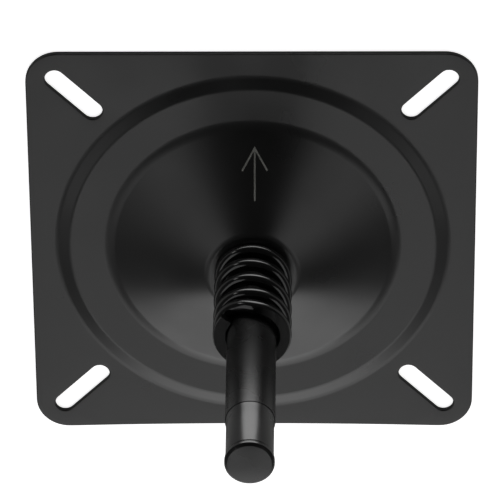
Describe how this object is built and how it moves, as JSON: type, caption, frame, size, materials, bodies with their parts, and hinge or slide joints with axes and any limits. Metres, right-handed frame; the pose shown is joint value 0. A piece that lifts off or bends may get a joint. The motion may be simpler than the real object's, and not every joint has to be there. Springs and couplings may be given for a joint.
{
  "type": "seat mount",
  "caption": "Pressed square seat plate with a domed centre, diagonal bolt slots, a turned stem and a coil cushion spring around it.",
  "frame": {"origin": "centre of the square plate on its flat seat face, on the stem's axis", "axes": "+Z along the stem, away from the seat; -Y is the front of the seat, the way the engraved arrow points; X runs across the seat. The part lies on its seat face. In use it is turned over, with the stem down in a pedestal"},
  "size_m": [0.203, 0.203, 0.175],
  "materials": {
    "plate_paint": "semi-gloss black coating on pressed steel sheet",
    "stem_paint": "semi-gloss black coating on a turned steel bar",
    "weld_bead": "black coating over a rippled weld bead",
    "spring_steel": "glossy black coating on coiled spring wire, ends ground flat"
  },
  "bodies": {
    "mount": {"seat_plate": "plate_paint", "stem": "stem_paint", "stem_weld": "weld_bead"},
    "spring": {"coil_spring": "spring_steel"}
  },
  "joints": [
    {"name": "spring_travel", "type": "slide", "parent": "mount", "child": "spring", "axis": [0, 0, -1], "range_m": [0, 0.015], "stiffness_N_per_m": 140000, "deforming": ["coil_spring"]}
  ]
}
